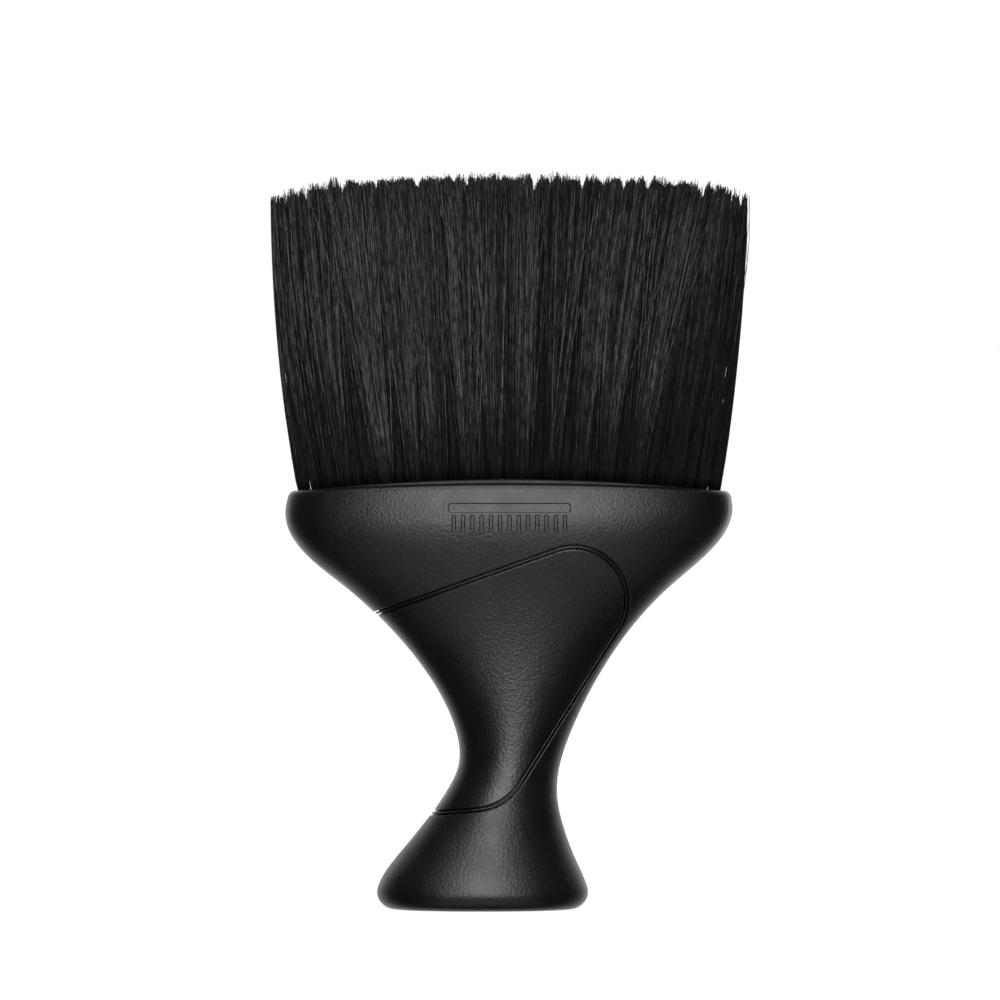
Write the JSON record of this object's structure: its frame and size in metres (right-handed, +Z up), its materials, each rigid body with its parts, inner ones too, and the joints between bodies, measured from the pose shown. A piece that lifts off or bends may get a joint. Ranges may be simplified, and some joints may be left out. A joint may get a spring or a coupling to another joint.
{
  "type": "neck duster brush",
  "caption": "Flat-headed neck duster brush standing on its flared foot, with a wrapped soft grip and a wide crowned field of long soft bristles.",
  "frame": {"origin": "on the surface the brush stands on, under the middle of the bristle field", "axes": "+Z up along the brush from foot to bristle tips, +X along the wide side of the head, front towards -Y"},
  "size_m": [0.1194, 0.0388, 0.18],
  "materials": {
    "shell_plastic": "satin",
    "grip_soft_touch": "matte",
    "block_plastic": "satin",
    "anchor_metal": "satin",
    "bristle_nylon": "satin"
  },
  "bodies": {
    "handle": {"handle_shell": "shell_plastic", "grip_panel": "grip_soft_touch", "base_cap": "shell_plastic", "tuft_block": "block_plastic", "anchor_row_1": "anchor_metal", "anchor_row_2": "anchor_metal", "anchor_row_3": "anchor_metal", "anchor_row_4": "anchor_metal", "anchor_row_5": "anchor_metal", "anchor_row_6": "anchor_metal", "anchor_row_7": "anchor_metal", "anchor_row_8": "anchor_metal"},
    "bristles_1": {"bristle_row_1": "bristle_nylon"},
    "bristles_2": {"bristle_row_2": "bristle_nylon"},
    "bristles_3": {"bristle_row_3": "bristle_nylon"},
    "bristles_4": {"bristle_row_4": "bristle_nylon"},
    "bristles_5": {"bristle_row_5": "bristle_nylon"},
    "bristles_6": {"bristle_row_6": "bristle_nylon"},
    "bristles_7": {"bristle_row_7": "bristle_nylon"},
    "bristles_8": {"bristle_row_8": "bristle_nylon"}
  },
  "joints": [
    {"name": "sway_row_1", "type": "hinge", "parent": "handle", "child": "bristles_1", "pos_m": [0, -0.01295, 0.1045], "axis": [1, 0, 0], "range_deg": [-25, 25], "stiffness_Nm_per_rad": 0.03, "deforming": ["bristle_row_1"]},
    {"name": "sway_row_2", "type": "hinge", "parent": "handle", "child": "bristles_2", "pos_m": [0, -0.00925, 0.1045], "axis": [1, 0, 0], "range_deg": [-25, 25], "stiffness_Nm_per_rad": 0.039, "deforming": ["bristle_row_2"]},
    {"name": "sway_row_3", "type": "hinge", "parent": "handle", "child": "bristles_3", "pos_m": [0, -0.00555, 0.1045], "axis": [1, 0, 0], "range_deg": [-25, 25], "stiffness_Nm_per_rad": 0.042, "deforming": ["bristle_row_3"]},
    {"name": "sway_row_4", "type": "hinge", "parent": "handle", "child": "bristles_4", "pos_m": [0, -0.00185, 0.1045], "axis": [1, 0, 0], "range_deg": [-25, 25], "stiffness_Nm_per_rad": 0.045, "deforming": ["bristle_row_4"]},
    {"name": "sway_row_5", "type": "hinge", "parent": "handle", "child": "bristles_5", "pos_m": [0, 0.00185, 0.1045], "axis": [1, 0, 0], "range_deg": [-25, 25], "stiffness_Nm_per_rad": 0.048, "deforming": ["bristle_row_5"]},
    {"name": "sway_row_6", "type": "hinge", "parent": "handle", "child": "bristles_6", "pos_m": [0, 0.00555, 0.1045], "axis": [1, 0, 0], "range_deg": [-25, 25], "stiffness_Nm_per_rad": 0.045, "deforming": ["bristle_row_6"]},
    {"name": "sway_row_7", "type": "hinge", "parent": "handle", "child": "bristles_7", "pos_m": [0, 0.00925, 0.1045], "axis": [1, 0, 0], "range_deg": [-25, 25], "stiffness_Nm_per_rad": 0.042, "deforming": ["bristle_row_7"]},
    {"name": "sway_row_8", "type": "hinge", "parent": "handle", "child": "bristles_8", "pos_m": [0, 0.01295, 0.1045], "axis": [1, 0, 0], "range_deg": [-25, 25], "stiffness_Nm_per_rad": 0.027, "deforming": ["bristle_row_8"]}
  ],
  "couplings": [
    {"joint": "sway_row_1", "follows": "sway_row_5", "ratio": 1},
    {"joint": "sway_row_2", "follows": "sway_row_5", "ratio": 1},
    {"joint": "sway_row_3", "follows": "sway_row_5", "ratio": 1},
    {"joint": "sway_row_4", "follows": "sway_row_5", "ratio": 1},
    {"joint": "sway_row_6", "follows": "sway_row_5", "ratio": 1},
    {"joint": "sway_row_7", "follows": "sway_row_5", "ratio": 1},
    {"joint": "sway_row_8", "follows": "sway_row_5", "ratio": 1}
  ]
}
